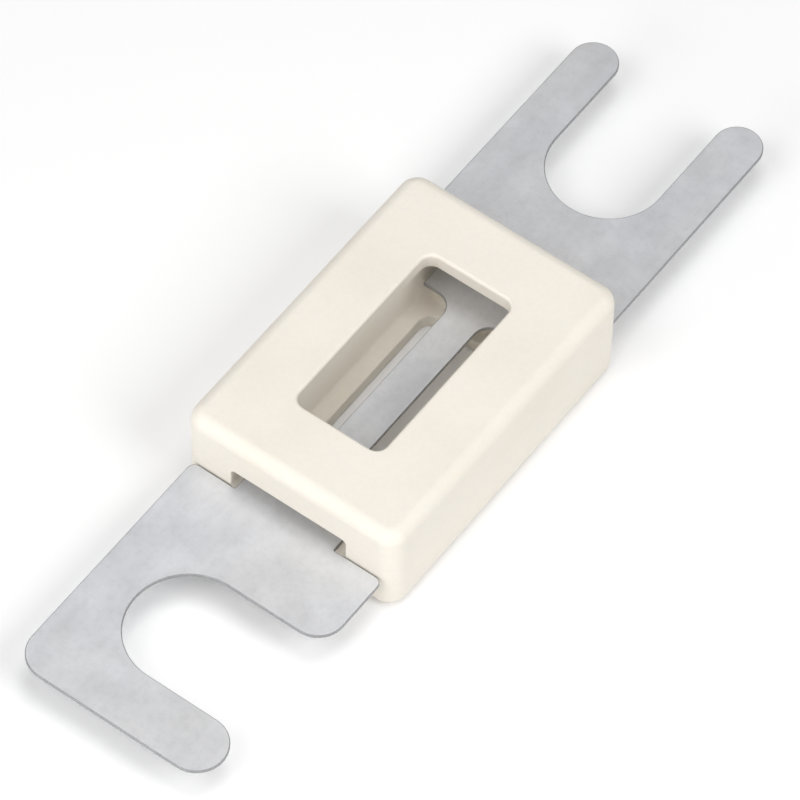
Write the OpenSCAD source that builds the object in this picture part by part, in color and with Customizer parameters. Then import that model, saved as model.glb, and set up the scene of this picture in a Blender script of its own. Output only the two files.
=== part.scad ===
// Bolt down strip fuse: one stamped metal strip held between two ceramic half shells.
// The strip lies along Y and is flat in Z. The fork terminal is at +Y, the hook terminal at -Y.
// The origin is under the middle of the ceramic body, on the surface that the body rests on.

/* [Strip] */
// Length of the strip from end to end
strip_length = 82; // [76:1:95]
// Width of both terminal blades
blade_width = 20; // [18:0.5:24]
// Thickness of the sheet that the strip is stamped from
sheet_thickness = 0.4; // [0.3:0.05:0.8]
// Width of the tongue inside the ceramic body
tongue_width = 10.4; // [9:0.2:12]
// How far the tongue lies from the middle line of the blades
tongue_offset = -0.3; // [-0.8:0.1:0.8]
// Width of the narrow fusing neck
neck_width = 3.4; // [1.5:0.1:5]
// How far the neck lies from the middle line of the blades
neck_offset = -0.5; // [-0.8:0.1:0.8]
// Length over which the tongue is cut in to the neck
neck_length = 20.6; // [17:0.2:24]
// Radius at each end of the neck
neck_radius = 1.7; // [1:0.1:2.8]
// Small radius of the blade corners beside the body
shoulder_radius = 0.7; // [0.3:0.1:1.5]

/* [Terminals] */
// Distance between the centres of the two bolt positions
bolt_spacing = 60; // [56:1:70]
// Width of both bolt slots
slot_width = 11; // [8:0.5:13]
// Radius of the hook blade's outer heel
heel_radius = 2.8; // [1:0.1:4]
// Radius at the mouth of the side slot, on the land beside the body
land_radius = 2.6; // [1:0.1:4]

/* [Ceramic body] */
// Width of the ceramic body
body_width = 22.2; // [21.4:0.2:27]
// Length of the ceramic body
body_length = 32.6; // [31:0.2:35]
// Height of the ceramic body, both halves together
body_height = 10.5; // [8:0.25:14]
// Radius of the upright corners of the body
corner_radius = 1.8; // [1.5:0.1:3]
// Radius along the outer edges of the two faces
edge_radius = 1.3; // [0.5:0.1:1.4]
// Thickness of the face of each half, round its window
face_thickness = 1.6; // [1:0.1:2.2]
// Gap between each end of the body and the blade beside it
shoulder_clearance = 0.1; // [0.05:0.05:0.5]

/* [Window] */
// Width of the sight window in each half
window_width = 9.1; // [7:0.1:10.5]
// Length of the sight window in each half
window_length = 19.3; // [15:0.1:20.5]
// Radius of the window's upright corners
window_radius = 1.1; // [0.5:0.1:2]
// Radius of the rounded rim round each window
rim_radius = 0.3; // [0.1:0.05:0.8]

/* [Chamber] */
// Width of the chamber behind the window of each half
chamber_width = 12.2; // [11.5:0.1:14]
// Length of the chamber
chamber_length = 22.2; // [21:0.1:26]
// Radius of the chamber's upright corners
chamber_corner_radius = 1.1; // [0.8:0.1:2]
// Radius where the chamber's walls meet the face
chamber_edge_radius = 0.5; // [0.2:0.1:0.7]

/* [Groove] */
// Clearance between the tongue and the nearer side of the groove
groove_side_clearance = 0.5; // [0.5:0.05:0.8]
// Depth of the lengthwise groove in each half
groove_depth = 1.25; // [0.9:0.05:1.6]
// Radius where the groove's sides meet its bottom
groove_radius = 0.5; // [0.2:0.05:0.5]

/* [Hidden] */
$fn = 96;

ceramic_colour = "#f2ecdf";
metal_colour = "#c6c7ca";

// A cutter runs this far past the surface that it opens
past = 1;

shell_height = body_height / 2;
groove_width = tongue_width + 2 * (abs(tongue_offset) + groove_side_clearance);
chamber_depth = shell_height - face_thickness;
strip_z = shell_height - groove_depth;
shoulder_y = body_length / 2 + shoulder_clearance;
strip_end = strip_length / 2;
bolt_y = bolt_spacing / 2;
slot_radius = slot_width / 2;
blade_half = blade_width / 2;

// The fork has a prong on each side of its slot, and the hook has one prong beyond its slot
fork_prong_radius = (blade_half - slot_radius) / 2;
hook_prong_radius = (strip_end - bolt_y - slot_radius) / 2;

// Flat rectangle between two opposite corners, with its own radius at each corner
module rounded_plate(low, high, r_low_left, r_low_right, r_high_right, r_high_left) {
    polygon([
        [low[0] + r_low_left, low[1]], [high[0] - r_low_right, low[1]],
        [high[0], low[1] + r_low_right], [high[0], high[1] - r_high_right],
        [high[0] - r_high_right, high[1]], [low[0] + r_high_left, high[1]],
        [low[0], high[1] - r_high_left], [low[0], low[1] + r_low_left]
    ]);
    translate([low[0] + r_low_left, low[1] + r_low_left]) circle(r_low_left);
    translate([high[0] - r_low_right, low[1] + r_low_right]) circle(r_low_right);
    translate([high[0] - r_high_right, high[1] - r_high_right]) circle(r_high_right);
    translate([low[0] + r_high_left, high[1] - r_high_left]) circle(r_high_left);
}

// What is cut from a corner at the origin to round it, with the metal towards +X and +Y
module corner_waste(r) {
    difference() {
        translate([-past, -past]) square(r + past);
        translate([r, r]) circle(r);
    }
}

// Open slot with a round end at the origin and its mouth at this distance along +X
module open_slot(mouth, r_low_side, r_high_side) {
    circle(slot_radius);
    translate([0, -slot_radius]) square([mouth + past, slot_width]);
    translate([mouth, slot_radius]) mirror([1, 0]) corner_waste(r_high_side);
    translate([mouth, -slot_radius]) rotate(180) corner_waste(r_low_side);
}

module fork_outline() {
    difference() {
        rounded_plate([-blade_half, shoulder_y], [blade_half, strip_end],
            shoulder_radius, shoulder_radius, fork_prong_radius, fork_prong_radius);
        translate([0, bolt_y]) rotate(90)
            open_slot(strip_end - bolt_y, fork_prong_radius, fork_prong_radius);
    }
}

module hook_outline() {
    difference() {
        rounded_plate([-blade_half, -strip_end], [blade_half, -shoulder_y],
            heel_radius, hook_prong_radius, shoulder_radius, shoulder_radius);
        translate([0, -bolt_y]) open_slot(blade_half, hook_prong_radius, land_radius);
    }
}

// The tongue joins the two blades and is cut in from both sides to leave the neck
module tongue_outline() {
    difference() {
        translate([tongue_offset, 0])
            square([tongue_width, 2 * (shoulder_y + shoulder_radius)], center = true);
        translate([neck_offset, 0]) for (side = [-1, 1]) scale([side, 1])
            rounded_plate([neck_width / 2, -neck_length / 2], [blade_half, neck_length / 2],
                neck_radius, past / 2, past / 2, neck_radius);
    }
}

module fuse_strip() {
    color(metal_colour) translate([0, 0, strip_z]) linear_extrude(sheet_thickness) {
        fork_outline();
        tongue_outline();
        hook_outline();
    }
}

// Half section at the edge of a block: upright outside, with the upper edge rounded over
module edge_section(height, corner, edge) {
    square([corner - edge, height]);
    square([corner, height - edge]);
    translate([corner - edge, height - edge]) intersection() {
        circle(edge);
        square(edge);
    }
}

// Block that stands on zero height, with rounded upright corners and a rounded upper edge
module rounded_block(width, length, height, corner, edge) {
    inner_x = width / 2 - corner;
    inner_y = length / 2 - corner;
    translate([-inner_x, -inner_y, 0]) cube([2 * inner_x, 2 * inner_y, height]);
    for (turn = [0, 1]) rotate(180 * turn) {
        translate([inner_x, inner_y, 0]) rotate([90, 0, 0])
            linear_extrude(2 * inner_y) edge_section(height, corner, edge);
        translate([-inner_x, inner_y, 0]) rotate([90, 0, 90])
            linear_extrude(2 * inner_x) edge_section(height, corner, edge);
        translate([inner_x, inner_y, 0]) rotate_extrude(angle = 90)
            edge_section(height, corner, edge);
        translate([-inner_x, inner_y, 0]) rotate(90) rotate_extrude(angle = 90)
            edge_section(height, corner, edge);
    }
}

// Half section of the window cutter: upright below, flared by the rounded rim at the top
module window_section() {
    translate([0, -past]) square([window_radius, shell_height + 2 * past]);
    difference() {
        translate([0, shell_height - rim_radius])
            square([window_radius + rim_radius, rim_radius + past]);
        translate([window_radius + rim_radius, shell_height - rim_radius]) circle(rim_radius);
    }
}

module window_cutter() {
    inner_x = window_width / 2 - window_radius;
    inner_y = window_length / 2 - window_radius;
    translate([-inner_x, -inner_y, -past])
        cube([2 * inner_x, 2 * inner_y, shell_height + 2 * past]);
    for (turn = [0, 1]) rotate(180 * turn) {
        translate([inner_x, inner_y, 0]) rotate([90, 0, 0])
            linear_extrude(2 * inner_y) window_section();
        translate([-inner_x, inner_y, 0]) rotate([90, 0, 90])
            linear_extrude(2 * inner_x) window_section();
        translate([inner_x, inner_y, 0]) rotate_extrude(angle = 90) window_section();
        translate([-inner_x, inner_y, 0]) rotate(90) rotate_extrude(angle = 90) window_section();
    }
}

// Chamber behind the window, where the neck melts without touching the ceramic
module chamber_cutter() {
    translate([0, 0, -past])
        rounded_block(chamber_width, chamber_length, chamber_depth + past,
            chamber_corner_radius, chamber_edge_radius);
}

// Lengthwise groove that the tongue lies in, open at both ends of the half
module groove_cutter() {
    rotate([90, 0, 0]) linear_extrude(body_length + 2 * past, center = true)
        rounded_plate([-groove_width / 2, -past], [groove_width / 2, groove_depth],
            past / 2, past / 2, groove_radius, groove_radius);
}

// One ceramic half, with the joint plane at zero height and its face upwards
module half_shell() {
    difference() {
        rounded_block(body_width, body_length, shell_height, corner_radius, edge_radius);
        window_cutter();
        chamber_cutter();
        groove_cutter();
    }
}

module upper_shell() {
    color(ceramic_colour) translate([0, 0, shell_height]) half_shell();
}

module lower_shell() {
    color(ceramic_colour) translate([0, 0, shell_height]) rotate([0, 180, 0]) half_shell();
}

fuse_strip();
upper_shell();
lower_shell();
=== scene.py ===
"""Bolt down strip fuse: the stamped strip, the two ceramic half shells and their studio."""

import math

import bmesh
import bpy
from mathutils import Matrix, Vector


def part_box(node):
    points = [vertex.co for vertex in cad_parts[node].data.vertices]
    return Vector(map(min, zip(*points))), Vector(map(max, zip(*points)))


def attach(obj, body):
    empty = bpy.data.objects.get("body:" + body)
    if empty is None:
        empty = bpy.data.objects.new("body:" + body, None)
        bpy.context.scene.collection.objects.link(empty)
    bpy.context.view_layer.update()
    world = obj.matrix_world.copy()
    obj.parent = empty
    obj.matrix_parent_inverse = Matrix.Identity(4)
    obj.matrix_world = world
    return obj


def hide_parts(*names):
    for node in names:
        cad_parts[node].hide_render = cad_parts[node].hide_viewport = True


bl_info = {
    "name": "Bolt Down Strip Fuse",
    "version": (1, 0, 0),
    "blender": (4, 5, 0),
    "location": "3D View > Sidebar > Strip Fuse",
    "description": "Finishes a bolt down strip fuse and sets up its studio",
    "category": "Object",
}

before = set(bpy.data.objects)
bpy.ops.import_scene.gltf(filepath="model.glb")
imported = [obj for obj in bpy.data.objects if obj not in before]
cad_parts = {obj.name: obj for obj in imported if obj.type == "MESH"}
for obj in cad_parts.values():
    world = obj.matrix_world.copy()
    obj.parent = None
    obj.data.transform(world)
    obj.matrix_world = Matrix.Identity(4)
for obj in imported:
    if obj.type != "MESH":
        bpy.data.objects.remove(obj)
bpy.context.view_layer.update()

MM = 0.001
BODY = "root"

# Corners of the frame's triangles this near are joined, and flats this even are made whole
WELD = 0.002 * MM
FLAT = math.radians(0.5)

# Edges sharper than this are rounded
SHARP = math.radians(50)

# A face of the strip whose normal rises less than this belongs to the sheet's edge
EDGE_RISE = 0.95

# Vertices this near to a height count as lying on it
LEVEL = 0.01 * MM

BEVEL_SEGMENTS = 2
FLAT_FACE_WEIGHT = 90

# The two ceramic halves meet halfway up the body
JOINT_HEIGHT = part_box("upper_shell")[0].z

SENSOR_MM = 36
CLIP_START = 0.01
CLIP_END = 10.0

# Each lamp's name, place, side length and the setting that holds its power
LAMP_AIM = (0.0, 0.0, 0.005)
LAMPS = (
    ("front_lamp", (-0.05, -0.28, 0.44), 0.24, "front_power"),
    ("side_lamp", (0.39, -0.01, 0.37), 0.26, "side_power"),
    ("low_lamp", (-0.05, -0.50, 0.14), 0.30, "low_power"),
    ("top_lamp", (0.04, 0.0, 0.50), 0.20, "top_power"),
)

FLOOR_SIZE = 6.0
FLOOR_COLOUR = (0.95, 0.95, 0.95, 1.0)
FLOOR_GLOW = 0.04
WHITE = (1.0, 1.0, 1.0, 1.0)


class StripSettings(bpy.types.PropertyGroup):
    """Sizes and colours of the stamped strip"""

    edge_break: bpy.props.FloatProperty(
        name="Edge break",
        description="Width of the rounding that stamping leaves along the sheet's edges",
        default=0.08 * MM,
        min=0.01 * MM,
        max=0.15 * MM,
        precision=6,
        unit="LENGTH",
    )
    metal_colour: bpy.props.FloatVectorProperty(
        name="Metal colour",
        description="Colour of the matt rolled sheet",
        subtype="COLOR",
        size=3,
        min=0.0,
        max=1.0,
        default=(0.715, 0.72, 0.74),
    )
    edge_colour: bpy.props.FloatVectorProperty(
        name="Edge colour",
        description="Colour of the duller metal on the stamped edges",
        subtype="COLOR",
        size=3,
        min=0.0,
        max=1.0,
        default=(0.38, 0.38, 0.39),
    )
    roughness: bpy.props.FloatProperty(
        name="Roughness",
        description="How matt the sheet is",
        subtype="FACTOR",
        default=0.5,
        min=0.0,
        max=1.0,
    )


class CeramicSettings(bpy.types.PropertyGroup):
    """Sizes and colours of the ceramic half shells"""

    edge_break: bpy.props.FloatProperty(
        name="Edge break",
        description="Width of the rounding along the groove and joint edges",
        default=0.12 * MM,
        min=0.01 * MM,
        max=0.3 * MM,
        precision=6,
        unit="LENGTH",
    )
    body_colour: bpy.props.FloatVectorProperty(
        name="Body colour",
        description="Cream colour of the fired ceramic",
        subtype="COLOR",
        size=3,
        min=0.0,
        max=1.0,
        default=(0.872, 0.823, 0.738),
    )
    roughness: bpy.props.FloatProperty(
        name="Roughness",
        description="How matt the ceramic is",
        subtype="FACTOR",
        default=0.62,
        min=0.0,
        max=1.0,
    )


class StudioSettings(bpy.types.PropertyGroup):
    """Camera, lamps and floor"""

    azimuth: bpy.props.FloatProperty(
        name="Azimuth",
        description="Direction that the camera looks from, round the upright axis",
        subtype="ANGLE",
        default=math.radians(35.31),
    )
    elevation: bpy.props.FloatProperty(
        name="Elevation",
        description="Height of the camera above the horizon",
        subtype="ANGLE",
        default=math.radians(55.30),
    )
    roll: bpy.props.FloatProperty(
        name="Roll",
        description="Turn of the camera about its own line of sight",
        subtype="ANGLE",
        default=math.radians(1.48),
    )
    distance: bpy.props.FloatProperty(
        name="Distance",
        description="Distance from the camera to the point that it looks at",
        default=0.5405,
        unit="LENGTH",
    )
    target: bpy.props.FloatVectorProperty(
        name="Target",
        description="Point on the strip that the camera looks at",
        subtype="XYZ",
        unit="LENGTH",
        size=3,
        default=(0.178 * MM, -0.714 * MM, 4.303 * MM),
    )
    lens: bpy.props.FloatProperty(
        name="Lens",
        description="Focal length of the camera",
        subtype="DISTANCE_CAMERA",
        default=285.9,
    )
    front_power: bpy.props.FloatProperty(
        name="Front lamp",
        description="Power of the high lamp before the hook end",
        subtype="POWER",
        default=0.62,
    )
    side_power: bpy.props.FloatProperty(
        name="Side lamp",
        description="Power of the lamp that lights the window's far wall from the side",
        subtype="POWER",
        default=1.1,
    )
    low_power: bpy.props.FloatProperty(
        name="Low lamp",
        description="Power of the low lamp that lights the end face and the notch",
        subtype="POWER",
        default=1.0,
    )
    top_power: bpy.props.FloatProperty(
        name="Top lamp",
        description="Power of the lamp almost straight above",
        subtype="POWER",
        default=0.63,
    )
    world_strength: bpy.props.FloatProperty(
        name="World light",
        description="Strength of the even light from all round",
        default=0.29,
    )


def socket(node, name, value):
    """Sets one input of a shader node."""
    node.inputs[name].default_value = value


def new_material(name):
    """Empty node material with its output and main shader."""
    material = bpy.data.materials.new(name)
    material.use_nodes = True
    tree = material.node_tree
    tree.nodes.clear()
    out = tree.nodes.new("ShaderNodeOutputMaterial")
    shader = tree.nodes.new("ShaderNodeBsdfPrincipled")
    tree.links.new(shader.outputs["BSDF"], out.inputs["Surface"])
    return material, tree, shader


def object_noise(tree, scale, detail, roughness, stretch=(1.0, 1.0, 1.0)):
    """Noise on Object coordinates, in cycles per metre before the stretch."""
    coordinates = tree.nodes.new("ShaderNodeTexCoord")
    mapping = tree.nodes.new("ShaderNodeMapping")
    mapping.inputs["Scale"].default_value = stretch
    tree.links.new(coordinates.outputs["Object"], mapping.inputs["Vector"])
    noise = tree.nodes.new("ShaderNodeTexNoise")
    socket(noise, "Scale", scale)
    socket(noise, "Detail", detail)
    socket(noise, "Roughness", roughness)
    tree.links.new(mapping.outputs["Vector"], noise.inputs["Vector"])
    return noise


def ramp(tree, source, stops):
    """Colour ramp between (place, colour) stops, fed by a noise's factor."""
    node = tree.nodes.new("ShaderNodeValToRGB")
    elements = node.color_ramp.elements
    while len(elements) > 1:
        elements.remove(elements[-1])
    elements[0].position = stops[0][0]
    elements[0].color = (*stops[0][1], 1.0)
    for place, colour in stops[1:]:
        element = elements.new(place)
        element.color = (*colour, 1.0)
    tree.links.new(source, node.inputs["Fac"])
    return node


def scaled(colour, factor):
    """Colour times a factor, or times one factor for each channel."""
    factors = factor if isinstance(factor, tuple) else (factor,) * 3
    return tuple(min(1.0, c * f) for c, f in zip(colour, factors))


def mixed(tree, blend, amount, first, second):
    """Mixes two colour outputs."""
    node = tree.nodes.new("ShaderNodeMix")
    node.data_type = "RGBA"
    node.blend_type = blend
    node.inputs["Factor"].default_value = amount
    tree.links.new(first, node.inputs[6])
    tree.links.new(second, node.inputs[7])
    return node.outputs[2]


def bumped(tree, shader, heights):
    """Chains one bump node for each (height output, strength, distance)."""
    normal = None
    for height, strength, distance in heights:
        bump = tree.nodes.new("ShaderNodeBump")
        socket(bump, "Strength", strength)
        socket(bump, "Distance", distance)
        tree.links.new(height, bump.inputs["Height"])
        if normal is not None:
            tree.links.new(normal, bump.inputs["Normal"])
        normal = bump.outputs["Normal"]
    tree.links.new(normal, shader.inputs["Normal"])


def sheet_metal(settings):
    """Matt rolled sheet: cloudy patches, rolling lines along the strip, speckle and fine grain."""
    material, tree, shader = new_material("rolled_sheet")
    base = tuple(settings.metal_colour)
    socket(shader, "Metallic", 0.38)
    clouds = object_noise(tree, 330.0, 4.0, 0.6)
    tint = object_noise(tree, 75.0, 2.0, 0.5)
    rolling = object_noise(tree, 900.0, 3.0, 0.6, stretch=(1.0, 0.06, 1.0))
    grain = object_noise(tree, 9000.0, 2.0, 0.6)
    speckle = object_noise(tree, 1900.0, 3.0, 0.65)
    cloud_ramp = ramp(tree, clouds.outputs["Fac"], [
        (0.30, scaled(base, 0.95)), (0.52, base), (0.72, scaled(base, 1.05))])
    tint_ramp = ramp(tree, tint.outputs["Fac"], [
        (0.35, (0.975, 0.985, 1.0)), (0.65, (1.0, 0.995, 0.98))])
    rolling_ramp = ramp(tree, rolling.outputs["Fac"], [
        (0.35, (0.965,) * 3), (0.65, (1.0,) * 3)])
    colour = mixed(tree, "MULTIPLY", 1.0, cloud_ramp.outputs["Color"], tint_ramp.outputs["Color"])
    speckle_ramp = ramp(tree, speckle.outputs["Fac"], [
        (0.36, (0.95,) * 3), (0.50, (0.99,) * 3), (0.64, (1.0,) * 3)])
    colour = mixed(tree, "MULTIPLY", 1.0, colour, rolling_ramp.outputs["Color"])
    colour = mixed(tree, "MULTIPLY", 1.0, colour, speckle_ramp.outputs["Color"])
    tree.links.new(colour, shader.inputs["Base Color"])
    rough = tree.nodes.new("ShaderNodeMapRange")
    socket(rough, "From Min", 0.3)
    socket(rough, "From Max", 0.7)
    socket(rough, "To Min", settings.roughness - 0.05)
    socket(rough, "To Max", settings.roughness + 0.07)
    tree.links.new(clouds.outputs["Fac"], rough.inputs["Value"])
    tree.links.new(rough.outputs["Result"], shader.inputs["Roughness"])
    bumped(tree, shader, [
        (rolling.outputs["Fac"], 0.25, 0.006 * MM),
        (grain.outputs["Fac"], 0.35, 0.004 * MM)])
    return material


def sheared_edge(settings):
    """Stamped edge of the sheet: duller metal with fine lines across its thickness."""
    material, tree, shader = new_material("sheared_edge")
    base = tuple(settings.edge_colour)
    socket(shader, "Metallic", 0.8)
    socket(shader, "Roughness", 0.55)
    drag = object_noise(tree, 5000.0, 2.0, 0.6, stretch=(1.0, 1.0, 0.12))
    drag_ramp = ramp(tree, drag.outputs["Fac"], [
        (0.35, scaled(base, 0.92)), (0.65, scaled(base, 1.06))])
    tree.links.new(drag_ramp.outputs["Color"], shader.inputs["Base Color"])
    bumped(tree, shader, [(drag.outputs["Fac"], 0.2, 0.004 * MM)])
    return material


def fired_ceramic(settings):
    """Unglazed cream ceramic: soft tone changes, a faint swell and a pressed-powder grain."""
    material, tree, shader = new_material("fired_ceramic")
    base = tuple(settings.body_colour)
    socket(shader, "Roughness", settings.roughness)
    socket(shader, "Subsurface Weight", 0.06)
    socket(shader, "Subsurface Radius", (0.9, 0.7, 0.45))
    socket(shader, "Subsurface Scale", 0.6 * MM)
    tone = object_noise(tree, 110.0, 3.0, 0.5)
    fine = object_noise(tree, 2600.0, 3.0, 0.6)
    swell = object_noise(tree, 240.0, 2.0, 0.45)
    tone_ramp = ramp(tree, tone.outputs["Fac"], [
        (0.30, scaled(base, (0.97, 0.965, 0.95))), (0.55, base), (0.75, scaled(base, 1.02))])
    fine_ramp = ramp(tree, fine.outputs["Fac"], [(0.30, (0.975,) * 3), (0.60, (1.0,) * 3)])
    colour = mixed(tree, "MULTIPLY", 1.0, tone_ramp.outputs["Color"], fine_ramp.outputs["Color"])
    tree.links.new(colour, shader.inputs["Base Color"])
    bumped(tree, shader, [
        (swell.outputs["Fac"], 0.20, 0.10 * MM),
        (fine.outputs["Fac"], 0.30, 0.012 * MM)])
    return material


def deselect_all():
    """Leaves nothing selected, since loading the frame selects its nodes."""
    bpy.ops.object.select_all(action="DESELECT")


def merged_copy(node, name):
    """Copy of a frame node with its loose triangles joined and its flats made whole."""
    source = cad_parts[node]
    piece = bpy.data.objects.new(name, source.data.copy())
    piece.data.name = name
    piece.data.materials.clear()
    bpy.context.scene.collection.objects.link(piece)
    deselect_all()
    piece.select_set(True)
    bpy.context.view_layer.objects.active = piece
    bpy.ops.object.mode_set(mode="EDIT")
    bpy.ops.mesh.select_mode(type="VERT")
    bpy.ops.mesh.select_all(action="SELECT")
    bpy.ops.mesh.customdata_custom_splitnormals_clear()
    bpy.ops.mesh.remove_doubles(threshold=WELD)
    bpy.ops.mesh.dissolve_limited(angle_limit=FLAT, delimit={"SHARP"})
    bpy.ops.object.mode_set(mode="OBJECT")
    return piece


def break_edges(piece, width, kept_height=None):
    """Rounds the sharp edges, apart from those at the kept height, and smooths the rest."""
    deselect_all()
    piece.select_set(True)
    bpy.context.view_layer.objects.active = piece
    bpy.ops.object.mode_set(mode="EDIT")
    bpy.ops.mesh.select_mode(type="EDGE")
    bpy.ops.mesh.select_all(action="DESELECT")
    mesh = bmesh.from_edit_mesh(piece.data)
    for edge in mesh.edges:
        kept = kept_height is not None and all(
            abs(vertex.co.z - kept_height) < LEVEL for vertex in edge.verts)
        edge.select = not kept and edge.calc_face_angle(0.0) > SHARP
    mesh.select_flush_mode()
    bmesh.update_edit_mesh(piece.data)
    bpy.ops.mesh.bevel(offset=width, segments=BEVEL_SEGMENTS, profile=0.5, affect="EDGES",
                       clamp_overlap=True, miter_outer="ARC")
    bpy.ops.object.mode_set(mode="OBJECT")
    bpy.ops.object.shade_smooth_by_angle(angle=SHARP)
    weighted = piece.modifiers.new("flat_faces", "WEIGHTED_NORMAL")
    weighted.weight = FLAT_FACE_WEIGHT
    weighted.keep_sharp = True
    bpy.ops.object.modifier_apply(modifier=weighted.name)


def finish_piece(piece, materials, node):
    """Gives a piece its materials and body, and lets it stand for its frame node."""
    piece.data.materials.clear()
    for material in materials:
        piece.data.materials.append(material)
    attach(piece, BODY)
    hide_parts(node)


class FUSE_OT_strip(bpy.types.Operator):
    """Makes the stamped strip with its rounded edges and rolled finish"""

    bl_idname = "fuse.strip"
    bl_label = "Stamped Strip"

    def execute(self, context):
        settings = context.scene.fuse_strip_settings
        piece = merged_copy("fuse_strip", "stamped_strip")
        break_edges(piece, settings.edge_break)
        materials = (sheet_metal(settings), sheared_edge(settings))
        finish_piece(piece, materials, "fuse_strip")
        for face in piece.data.polygons:
            face.material_index = int(abs(face.normal.z) < EDGE_RISE)
        return {"FINISHED"}


class FUSE_OT_shells(bpy.types.Operator):
    """Makes both ceramic half shells with their softened edges"""

    bl_idname = "fuse.shells"
    bl_label = "Ceramic Shells"

    def execute(self, context):
        settings = context.scene.fuse_ceramic_settings
        material = fired_ceramic(settings)
        for node, name in (("upper_shell", "upper_ceramic"), ("lower_shell", "lower_ceramic")):
            piece = merged_copy(node, name)
            break_edges(piece, settings.edge_break, kept_height=JOINT_HEIGHT)
            finish_piece(piece, (material,), node)
        return {"FINISHED"}


def camera_matrix(settings):
    """Place and turn of the camera, from its angles round the target."""
    azimuth = settings.azimuth
    elevation = settings.elevation
    back = Vector((math.sin(azimuth) * math.cos(elevation),
                   -math.cos(azimuth) * math.cos(elevation), math.sin(elevation)))
    right = Vector((math.cos(azimuth), math.sin(azimuth), 0.0))
    up = back.cross(right)
    turned_right = right * math.cos(settings.roll) + up * math.sin(settings.roll)
    turned_up = up * math.cos(settings.roll) - right * math.sin(settings.roll)
    turn = Matrix((turned_right, turned_up, back)).transposed().to_4x4()
    place = Vector(settings.target) + back * settings.distance
    return Matrix.Translation(place) @ turn


def area_lamp(name, place, size, power):
    """Soft square white lamp that looks at the middle of the fuse."""
    data = bpy.data.lights.new(name, "AREA")
    data.shape = "SQUARE"
    data.size = size
    data.energy = power
    lamp = bpy.data.objects.new(name, data)
    lamp.location = place
    lamp.rotation_mode = "QUATERNION"
    lamp.rotation_quaternion = (Vector(LAMP_AIM) - Vector(place)).to_track_quat("-Z", "Y")
    bpy.context.scene.collection.objects.link(lamp)


def white_to_sight(tree, shaded, strength):
    """Adds even white to what the camera, mirrors and glass see, and leaves cast light alone."""
    paths = tree.nodes.new("ShaderNodeLightPath")
    seen = tree.nodes.new("ShaderNodeMath")
    seen.operation = "MAXIMUM"
    tree.links.new(paths.outputs["Is Camera Ray"], seen.inputs[0])
    tree.links.new(paths.outputs["Is Glossy Ray"], seen.inputs[1])
    seen_all = tree.nodes.new("ShaderNodeMath")
    seen_all.operation = "MAXIMUM"
    tree.links.new(seen.outputs["Value"], seen_all.inputs[0])
    tree.links.new(paths.outputs["Is Transmission Ray"], seen_all.inputs[1])
    level = tree.nodes.new("ShaderNodeMath")
    level.operation = "MULTIPLY"
    level.inputs[1].default_value = strength
    tree.links.new(seen_all.outputs["Value"], level.inputs[0])
    glow = tree.nodes.new("ShaderNodeEmission")
    socket(glow, "Color", WHITE)
    tree.links.new(level.outputs["Value"], glow.inputs["Strength"])
    total = tree.nodes.new("ShaderNodeAddShader")
    tree.links.new(shaded, total.inputs[0])
    tree.links.new(glow.outputs["Emission"], total.inputs[1])
    return total.outputs["Shader"]


def floor_material():
    """Pale floor that the camera sees as white outside the object's shadow."""
    material = bpy.data.materials.new("pale_floor")
    material.use_nodes = True
    tree = material.node_tree
    tree.nodes.clear()
    out = tree.nodes.new("ShaderNodeOutputMaterial")
    pale = tree.nodes.new("ShaderNodeBsdfDiffuse")
    socket(pale, "Color", FLOOR_COLOUR)
    seen = white_to_sight(tree, pale.outputs["BSDF"], FLOOR_GLOW)
    tree.links.new(seen, out.inputs["Surface"])
    return material


def set_world(strength):
    """Even white light from all round."""
    world = bpy.data.worlds.new("studio")
    bpy.context.scene.world = world
    world.use_nodes = True
    tree = world.node_tree
    tree.nodes.clear()
    out = tree.nodes.new("ShaderNodeOutputWorld")
    light = tree.nodes.new("ShaderNodeBackground")
    socket(light, "Color", WHITE)
    socket(light, "Strength", strength)
    tree.links.new(light.outputs["Background"], out.inputs["Surface"])


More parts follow.
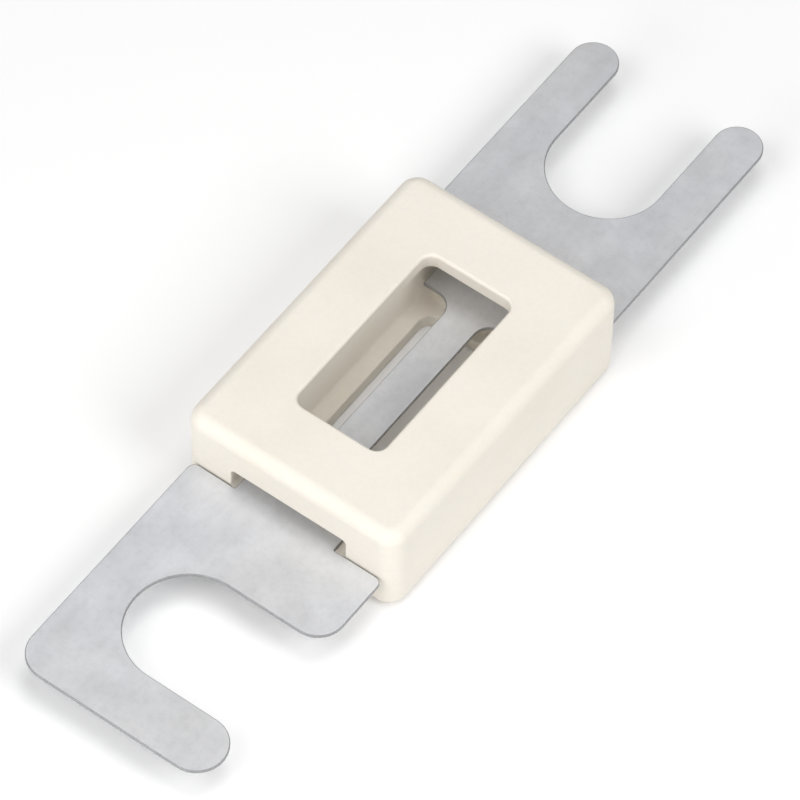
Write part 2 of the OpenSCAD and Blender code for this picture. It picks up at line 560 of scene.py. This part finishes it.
class FUSE_OT_studio(bpy.types.Operator):
    """Sets up the floor, the lamps, the world and the camera of the photograph"""

    bl_idname = "fuse.studio"
    bl_label = "Studio"

    def execute(self, context):
        settings = context.scene.fuse_studio_settings
        scene = context.scene
        deselect_all()
        bpy.ops.mesh.primitive_plane_add(size=FLOOR_SIZE, location=(0.0, 0.0, 0.0))
        floor = context.object
        floor.name = "floor"
        floor.data.materials.append(floor_material())
        for name, place, size, power in LAMPS:
            area_lamp(name, place, size, getattr(settings, power))
        set_world(settings.world_strength)
        data = bpy.data.cameras.new("photo_camera")
        data.sensor_width = SENSOR_MM
        data.lens = settings.lens
        data.clip_start = CLIP_START
        data.clip_end = CLIP_END
        camera = bpy.data.objects.new("photo_camera", data)
        camera.matrix_world = camera_matrix(settings)
        scene.collection.objects.link(camera)
        scene.camera = camera
        scene.view_settings.view_transform = "Standard"
        return {"FINISHED"}


class FUSE_PT_panel(bpy.types.Panel):
    """Lists the pieces of the fuse and their settings"""

    bl_label = "Strip Fuse"
    bl_idname = "FUSE_PT_panel"
    bl_space_type = "VIEW_3D"
    bl_region_type = "UI"
    bl_category = "Strip Fuse"

    def draw(self, context):
        scene = context.scene
        groups = (
            (FUSE_OT_strip, scene.fuse_strip_settings),
            (FUSE_OT_shells, scene.fuse_ceramic_settings),
            (FUSE_OT_studio, scene.fuse_studio_settings),
        )
        for operator, settings in groups:
            column = self.layout.box().column()
            column.operator(operator.bl_idname)
            for name in settings.bl_rna.properties.keys():
                if name not in ("rna_type", "name"):
                    column.prop(settings, name)


SETTINGS = {
    "fuse_strip_settings": StripSettings,
    "fuse_ceramic_settings": CeramicSettings,
    "fuse_studio_settings": StudioSettings,
}
OPERATORS = (FUSE_OT_strip, FUSE_OT_shells, FUSE_OT_studio)


def register():
    """Adds the settings, the operators and the panel."""
    for name, group in SETTINGS.items():
        bpy.utils.register_class(group)
        setattr(bpy.types.Scene, name, bpy.props.PointerProperty(type=group))
    for operator in OPERATORS:
        bpy.utils.register_class(operator)
    bpy.utils.register_class(FUSE_PT_panel)


def unregister():
    """Takes out what register added."""
    bpy.utils.unregister_class(FUSE_PT_panel)
    for operator in reversed(OPERATORS):
        bpy.utils.unregister_class(operator)
    for name, group in reversed(SETTINGS.items()):
        delattr(bpy.types.Scene, name)
        bpy.utils.unregister_class(group)


def main():
    """Makes the pieces and the studio in order."""
    register()
    bpy.ops.fuse.strip()
    bpy.ops.fuse.shells()
    bpy.ops.fuse.studio()


if __name__ == "__main__":
    main()
